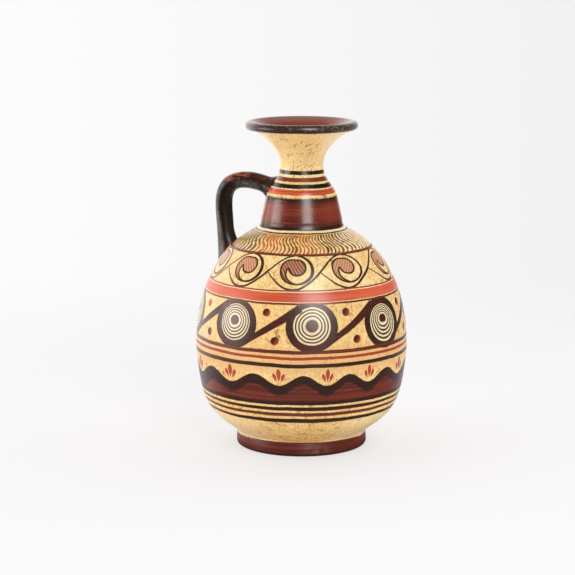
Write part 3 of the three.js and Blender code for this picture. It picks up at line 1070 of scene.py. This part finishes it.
def painted_mouth():
    finish = Finish("painted_mouth")
    wander, jitter, brush = hand(finish, 18, 2)
    height = finish.height + (wander[0] - 0.5) * 0.9 + (jitter - 0.5) * 0.4
    wear = abs(finish.turn + 4).fade(20, 60, 0.10, -0.15)
    scratches = cream_slip(finish, finish.height, NECK_GIRTH, wear, 0.25)
    flat = finish.sheet(finish.height, NECK_GIRTH)
    fine = finish.scratches(flat, spacing=3.4, reach=2.6, half=0.36, share=0.60, lean=55, scatter=80)
    fine = fine * (finish.cloud(9, 2)[0] + wear).fade(0.46, 0.54)
    # Painted shade: the flare's cream deeper at the front, against its lighter sides
    deep = abs(finish.turn + 4).fade(15, 60, 0.25, 0) * finish.height.fade(175, 184)
    finish.lay(0.45, MOUTH_GOLD)
    finish.lay(deep, CREAM_DEEP)
    finish.lay(fine * 0.9, CRACK_DEEP)
    finish.lay(height.band(*THROAT_LINE), BLACK)
    radius = distance(finish.front, finish.right)
    lining = finish.mix(brush.fade(0.35, 0.65), RED_BROWN_BRIGHT, LINING)
    # Painted sheen: the lining paler towards the rim
    lining = finish.mix((radius + (jitter - 0.5) * 1.5).fade(24.5, 30.5), lining, LINING_EDGE_SHEEN)
    finish.lay(finish.attribute("inside"), lining)
    rim = height.fade(195, 195.4) * radius.fade(31, 31.8)
    # Olive wear on the bead, laid more thickly at its ends as seen from the front as a painted rim light
    ends = abs(finish.turn + 22).fade(30, 70) * abs(finish.turn).fade(100, 125, 1, 0.35)
    edges = abs(finish.height - 197.2).fade(1, 2.6)
    spots = finish.cloud(1.9, 4, 0.68)[0] + ends * 0.15 + edges * 0.05
    wear_and_rim_light = spots.fade(0.56, 0.74, 0, 0.75)
    finish.lay(rim, finish.mix(wear_and_rim_light, RIM_BROWN, OLIVE_GREY))
    rough = (jitter * 0.6 + wear_and_rim_light * 0.4).fade(0.2, 0.8, 0.24, 0.42)
    relief = jitter * 0.4 + wear_and_rim_light * 0.1 + brush * 0.3 - scratches * 0.2
    finish.cover(rough, relief, strength=0.25, depth=0.00025, gloss=BODY_GLOSS)
    finish.feed(finish.shader.inputs["Sheen Weight"], MOUTH_SHEEN)
    finish.feed(finish.shader.inputs["Sheen Roughness"], MOUTH_SHEEN_ROUGHNESS)
    finish.feed(finish.shader.inputs["Sheen Tint"], MOUTH_SHEEN_TINT)
    return finish.material


def brown_foot():
    finish = Finish("brown_foot")
    slow = finish.cloud(16, 2)[0]
    jitter = finish.cloud(2, 3)[0]
    brush = streaks(finish)
    wash = finish.mix(brush.fade(0.34, 0.66), RED_BROWN, RED_BROWN_BRIGHT)
    fuzz = (brush - 0.5) * 3 + (jitter - 0.5) * 1.4
    loose = finish.height + fuzz
    edge = (loose.fade(5.9, 7) * 0.6).most(loose.fade(4.6, 1.6))
    finish.tint = finish.mix(edge * abs(finish.turn).fade(25, 60, 0.78, 0.50), wash, LINE_BLACK)
    # Painted highlight: pale glints on the front of the foot, where the key lamp's reflection falls
    painted_glint = finish.turn.band(2, 24, 7) * finish.height.band(2.2, 6.4, 1)
    finish.lay(painted_glint * (jitter * 0.5 + brush * 0.5).fade(0.42, 0.60, 0, 0.45), PAINTED_GLINT)
    hem = finish.height + (slow - 0.5) * 1.5 + (jitter - 0.5) * 0.8 - foot_lift(finish)
    finish.lay(hem.fade(7.4, 7.7), HEM)
    clay_inside(finish)
    rough = (jitter * 0.5 + brush * 0.5).fade(0.3, 0.7, 0.30, 0.46)
    finish.cover(rough, brush * 0.7 + jitter * 0.3, strength=0.25, depth=0.0003, gloss=FOOT_GLOSS)
    return finish.material


def black_handle():
    finish = Finish("black_handle")
    along = finish.attribute("along")
    side = finish.attribute("side")
    slow = finish.cloud(9, 3)[0]
    quick = finish.cloud(1.6, 4, 0.68)[0]
    streak = finish.cloud(1, 3, 0.6, finish.stretch(0.14, 0.14, 0.6))[0]
    loose = (quick - 0.5) * 0.6 + (streak - 0.5) * 0.8
    finish.tint = finish.mix(slow.fade(0.40, 0.65), BLACK, HANDLE_BROWN)
    arm = (side + loose).fade(-0.1, 0.45) * along.fade(26, 14)
    finish.lay(arm.most(along.fade(5, 2.5)) * 0.4, RED_BROWN_DEEP)
    finish.lay(along.fade(66, 71, 0, 0.6), RED_BROWN_DEEP)
    # Olive mottling of the slip, with a painted sheen of the lamps' reflection along the outer edge, the
    # lower root and under the arm
    outer = (side + loose * 0.6 + along.fade(48, 66, 0, 0.5)).fade(0.15, 0.50) * along.fade(26, 33)
    under = side.band(-0.75, 0, 0.25) * along.fade(6, 12) * along.fade(28, 18)
    outer = outer * slow.fade(0.40, 0.56, 0.45, 1)
    mottle_and_sheen = (outer * quick.fade(0.26, 0.50)).most(under * 0.9 * quick.fade(0.34, 0.58))
    finish.lay(mottle_and_sheen * 0.85, OLIVE_MOTTLE_AND_SHEEN)
    patch = (side + loose).fade(0.20, 0.55) * along.fade(15, 19) * along.fade(32, 28)
    finish.lay(patch * streak.fade(0.38, 0.56), RUBBED_RED)
    rough = (quick * 0.6 + mottle_and_sheen * 0.4).fade(0.2, 0.8, 0.26, 0.46)
    finish.cover(rough, quick, strength=0.30, depth=0.0003, gloss=HANDLE_GLOSS)
    return finish.material


body_finish = painted_body()
for piece, node, slot, finish in (
    (foot, "foot_ring", "brown_slip", brown_foot()),
    (lower_body, "lower_body", "painted_cream_slip", body_finish),
    (upper_body, "upper_body", "painted_cream_slip", body_finish),
    (neck, "neck", "banded_neck_slip", painted_neck()),
    (mouth, "mouth", "banded_mouth_slip", painted_mouth()),
    (handle, "handle", "black_slip", black_handle()),
):
    piece.data.materials.clear()
    piece.data.materials.append(finish)
    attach(piece, "root")
    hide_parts(node)


# Stage

LOOK_AT = Vector((0, 0, 0.0971))
CAMERA_DISTANCE = 1.232
CAMERA_PITCH = 10.2
CAMERA_YAW = math.radians(0.409)
SENSOR_WIDTH = 36
FOCAL_PIXELS = 2000
PHOTO_PIXELS = 575
VIEW_END = 50
TOWARD_CAMERA = Vector((math.cos(FRONT_TURN), -math.sin(FRONT_TURN), 0))
WHITE = (1, 1, 1)
BACKDROP = (0.925, 0.915, 0.918)
FLOOR_TINT = (0.93, 0.92, 0.915)
FLOOR_WHITE = (0.835, 0.826, 0.829)
FLOOR_PALENESS = 0.78  # how much of that white the floor shows
FLOOR_RADIUS = 2.5
FLOOR_CORNERS = 96
FLOOR_DROP = 0.0002

# Where the floor starts to run into the backdrop and where it ends, in metres from the jug
FLOOR_FADE = (0.18, 0.7)

# The room is dimmest this far to the right of the camera, in degrees
DIM_TURN = 9

# Strengths behind the jug and before it, and where the change starts and ends, as cosines.
# What is mirrored has its own dimmest turn.
AIR_LEVELS = (1.63, 0.24, -0.15, 0.72)
MIRRORED_LEVELS = (1.6, 0.02, -0.95, -0.40, 24)
FLOOR_SHINE = (0.92, 0.06, -0.8, 0.2)

# What is mirrored from overhead: where it starts to dim and where it ends, as sines, and its two levels
OVERHEAD_LEVELS = (0.35, 0.85, 1.0, 0.15)

# Brightness of the backdrop at the left and at the right of the photograph, and how far out they lie
WALL_LEVELS = (1.06, 0.97)
WALL_EDGE = 0.12


def direction(turn, rise):
    """A direction by degrees to the right of the camera, seen from the jug, and degrees up."""
    level = TOWARD_CAMERA.copy()
    level.rotate(Quaternion((0, 0, 1), math.radians(turn)))
    return level * math.cos(math.radians(rise)) + Vector((0, 0, math.sin(math.radians(rise))))


def place_camera():
    deselect()
    back = direction(0, CAMERA_PITCH)
    bpy.ops.object.camera_add(location=LOOK_AT + back * CAMERA_DISTANCE)
    camera = bpy.context.object
    camera.rotation_mode = "QUATERNION"
    camera.rotation_quaternion = Quaternion((0, 0, 1), CAMERA_YAW) @ (-back).to_track_quat("-Z", "Y")
    camera.data.sensor_width = SENSOR_WIDTH
    camera.data.lens = SENSOR_WIDTH * FOCAL_PIXELS / PHOTO_PIXELS
    camera.data.clip_end = VIEW_END
    bpy.context.scene.camera = camera


def place_lamp(name, turn, rise, distance, width, height, power):
    deselect()
    toward = direction(turn, rise)
    bpy.ops.object.light_add(type="AREA", location=LOOK_AT + toward * distance)
    lamp = bpy.context.object
    lamp.name = name
    lamp.rotation_mode = "QUATERNION"
    lamp.rotation_quaternion = (-toward).to_track_quat("-Z", "Y")
    lamp.data.shape = "RECTANGLE"
    lamp.data.size = width
    lamp.data.size_y = height
    lamp.data.energy = power


def dim_before(wiring, way, behind, before, start, end, turn=DIM_TURN):
    """A strength that goes from one behind the jug to another before it, by a way from the jug."""
    toward = wiring.measure("DOT_PRODUCT", wiring.move("NORMALIZE", way), direction(turn, 0))
    return toward.fade(start, end, behind, before, smooth=True)


def mirror_rays(wiring, path):
    """One for the rays that show what a shining or a clear surface sees."""
    return wiring.work("MAXIMUM", path["Is Glossy Ray"], path["Is Transmission Ray"])


def lay_floor():
    """A pale floor that runs into the backdrop. What shines shows it white behind the jug, dim before it."""
    deselect()
    bpy.ops.mesh.primitive_circle_add(vertices=FLOOR_CORNERS, radius=FLOOR_RADIUS, fill_type="NGON")
    floor = bpy.context.object
    floor.location.z = -FLOOR_DROP
    floor.name = "studio_floor"
    material = bpy.data.materials.new("studio_floor")
    material.use_nodes = True
    material.node_tree.nodes.clear()
    wiring = Wiring(material.node_tree)
    way = wiring.add("ShaderNodeTexCoord").outputs["Object"]
    path = wiring.add("ShaderNodeLightPath").outputs
    matt = wiring.coat("ShaderNodeBsdfDiffuse", FLOOR_TINT)
    white = wiring.coat("ShaderNodeEmission", FLOOR_WHITE)
    tone = wiring.blend(wiring.work("MULTIPLY", path["Is Camera Ray"], FLOOR_PALENESS), matt, white)
    mirrored = wiring.coat("ShaderNodeEmission", BACKDROP, dim_before(wiring, way, *FLOOR_SHINE))
    shine = wiring.blend(mirror_rays(wiring, path), tone, mirrored)
    clear = wiring.coat("ShaderNodeBsdfTransparent", WHITE)
    far = wiring.measure("LENGTH", way).fade(*FLOOR_FADE, smooth=True)
    output = wiring.add("ShaderNodeOutputMaterial")
    wiring.feed(output.inputs["Surface"], wiring.blend(far, shine, clear))
    floor.data.materials.append(material)


def light_room():
    """Soft light from all round. What shines shows a white backdrop behind the jug, a dim room before it."""
    world = bpy.data.worlds.new("studio_air")
    bpy.context.scene.world = world
    world.use_nodes = True
    world.node_tree.nodes.clear()
    wiring = Wiring(world.node_tree)
    way = wiring.add("ShaderNodeTexCoord").outputs["Generated"]
    path = wiring.add("ShaderNodeLightPath").outputs
    air = wiring.coat("ShaderNodeBackground", WHITE, dim_before(wiring, way, *AIR_LEVELS))
    overhead = wiring.parts(way)[2].fade(*OVERHEAD_LEVELS, smooth=True)
    level = dim_before(wiring, way, *MIRRORED_LEVELS) * overhead
    mirrored = wiring.coat("ShaderNodeBackground", BACKDROP, level)
    shine = wiring.blend(mirror_rays(wiring, path), air, mirrored)
    across = wiring.measure("DOT_PRODUCT", way, direction(90, 0))
    wall = wiring.coat("ShaderNodeBackground", BACKDROP, across.fade(-WALL_EDGE, WALL_EDGE, *WALL_LEVELS))
    output = wiring.add("ShaderNodeOutputWorld")
    wiring.feed(output.inputs["Surface"], wiring.blend(path["Is Camera Ray"], shine, wall))


place_camera()
lay_floor()
light_room()
place_lamp("key_softbox", turn=17, rise=31, distance=1.4, width=0.6, height=1.15, power=11.3)
place_lamp("left_softbox", turn=-81, rise=8, distance=1.4, width=0.8, height=0.42, power=4.4)
bpy.context.scene.view_settings.view_transform = "Standard"
